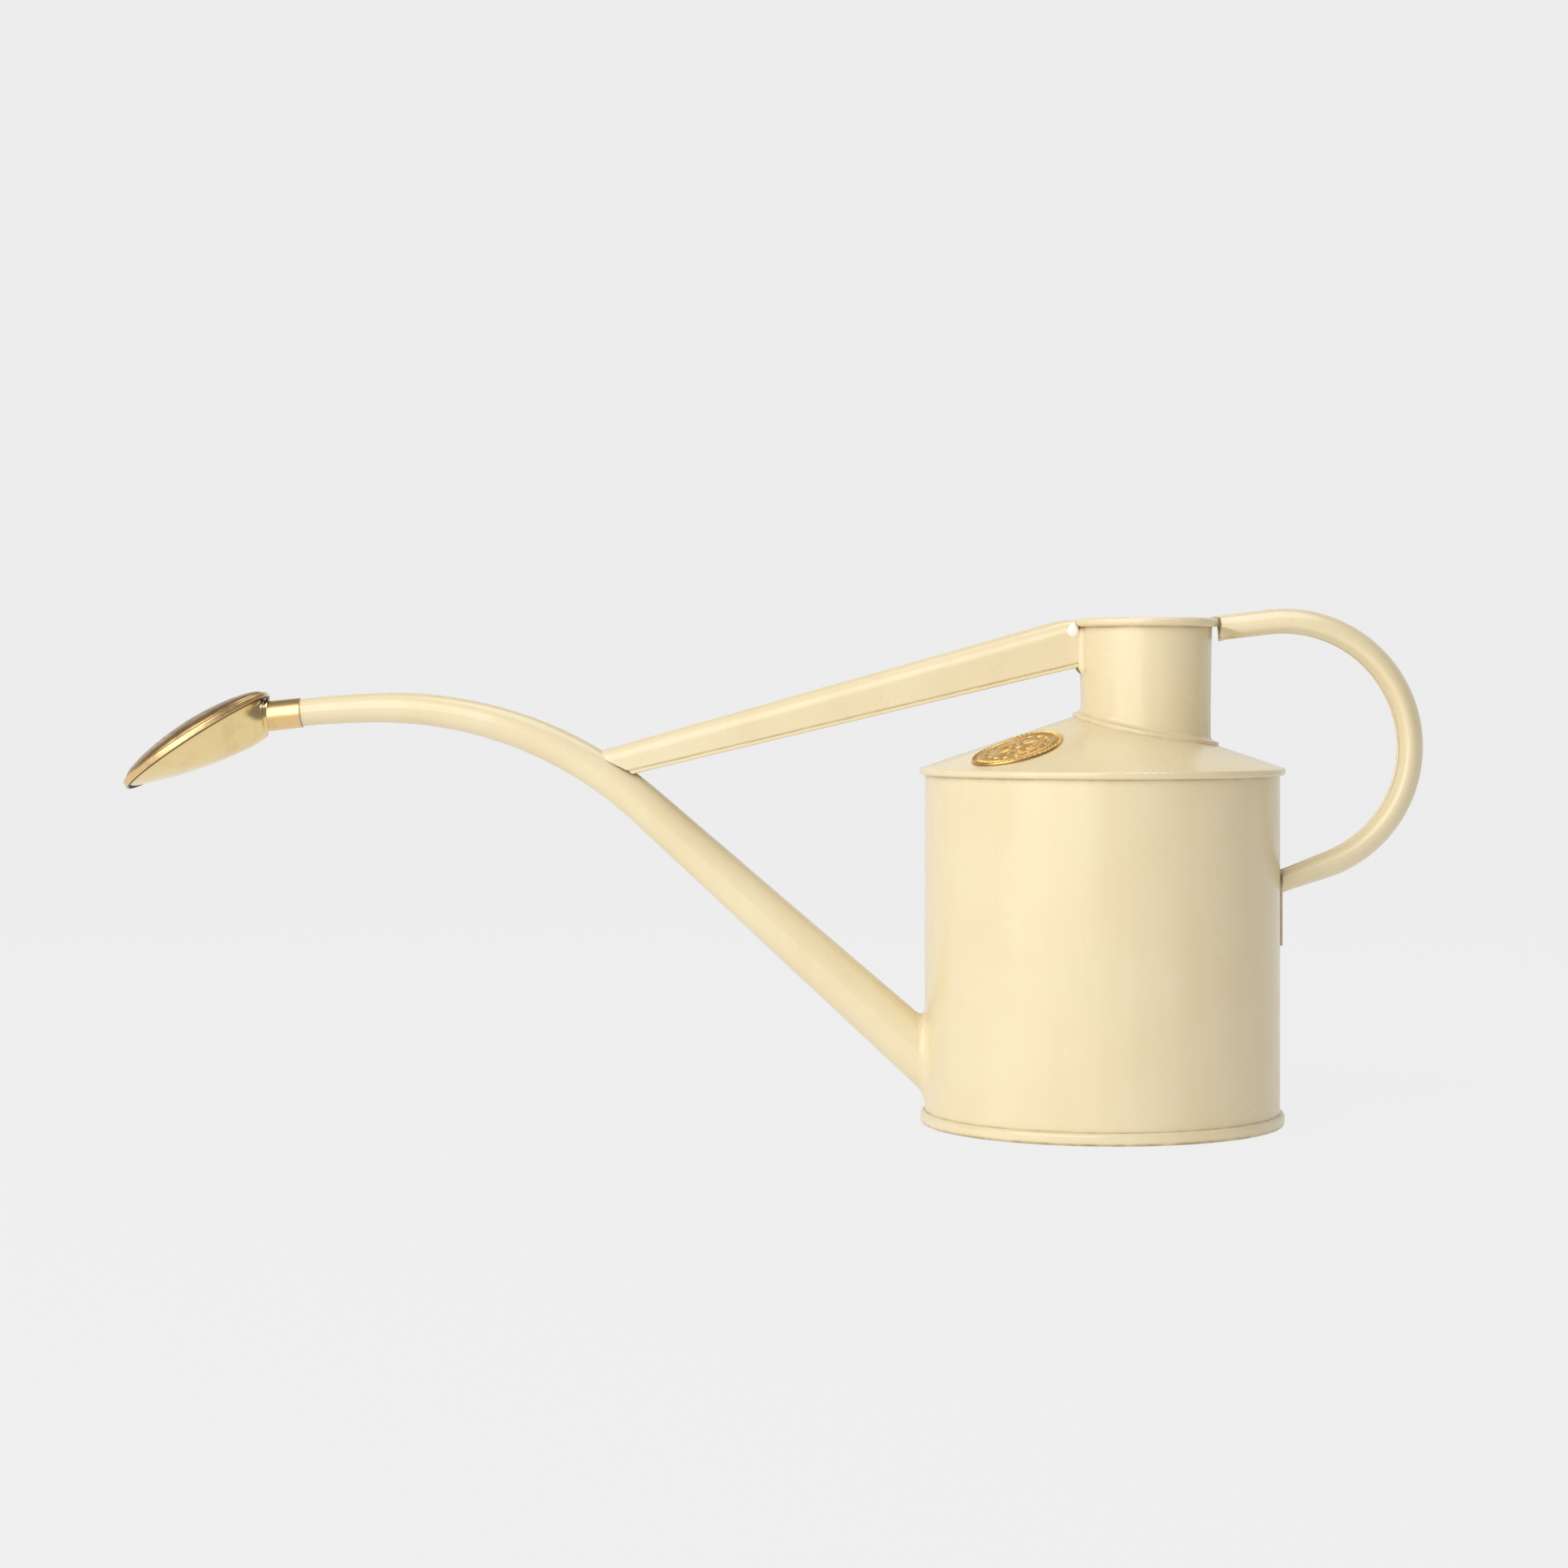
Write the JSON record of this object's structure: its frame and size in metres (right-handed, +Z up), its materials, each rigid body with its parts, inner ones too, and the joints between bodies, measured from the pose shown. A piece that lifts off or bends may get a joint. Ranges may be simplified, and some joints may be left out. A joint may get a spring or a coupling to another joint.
{
  "type": "watering can",
  "caption": "Cylindrical sheet-steel watering can with a long swan-neck spout, a stay, a loop handle and a push-on oval brass rose.",
  "frame": {"origin": "middle of the base on the surface it stands on, on the can's axis", "axes": "+Z up, -X towards the spout, +X towards the handle; the spout, stay, neck and handle lie in the plane Y = 0"},
  "size_m": [0.4037, 0.1134, 0.1596],
  "materials": {
    "cream_enamel": "gloss",
    "rim_wire": "plain drawn wire",
    "badge_brass": "embossed, lacquered",
    "rose_brass": "polished",
    "rose_face_brass": "satin, perforated",
    "washer_rubber": "matte"
  },
  "bodies": {
    "can": {"body_shell": "cream_enamel", "base_disc": "cream_enamel", "shoulder_cone": "cream_enamel", "neck_tube": "cream_enamel", "neck_rim_wire": "rim_wire", "spout_tube": "cream_enamel", "spout_root_solder": "cream_enamel", "stay_brace": "cream_enamel", "stay_neck_solder": "cream_enamel", "handle": "cream_enamel", "handle_foot_strap": "cream_enamel", "badge": "badge_brass"},
    "washer": {"rose_washer": "washer_rubber"},
    "rose": {"rose_socket": "rose_brass", "rose_back": "rose_brass", "rose_shell": "rose_brass", "rose_rim": "rose_brass", "rose_face": "rose_face_brass"}
  },
  "joints": [
    {"name": "rose_pull", "type": "slide", "parent": "can", "child": "washer", "axis": [-0.9944, 0, -0.1057], "range_m": [0, 0.025]},
    {"name": "rose_twist", "type": "hinge", "parent": "washer", "child": "rose", "pos_m": [-0.25919, 0, 0.12618], "axis": [-0.9944, 0, -0.1057], "continuous": true}
  ]
}
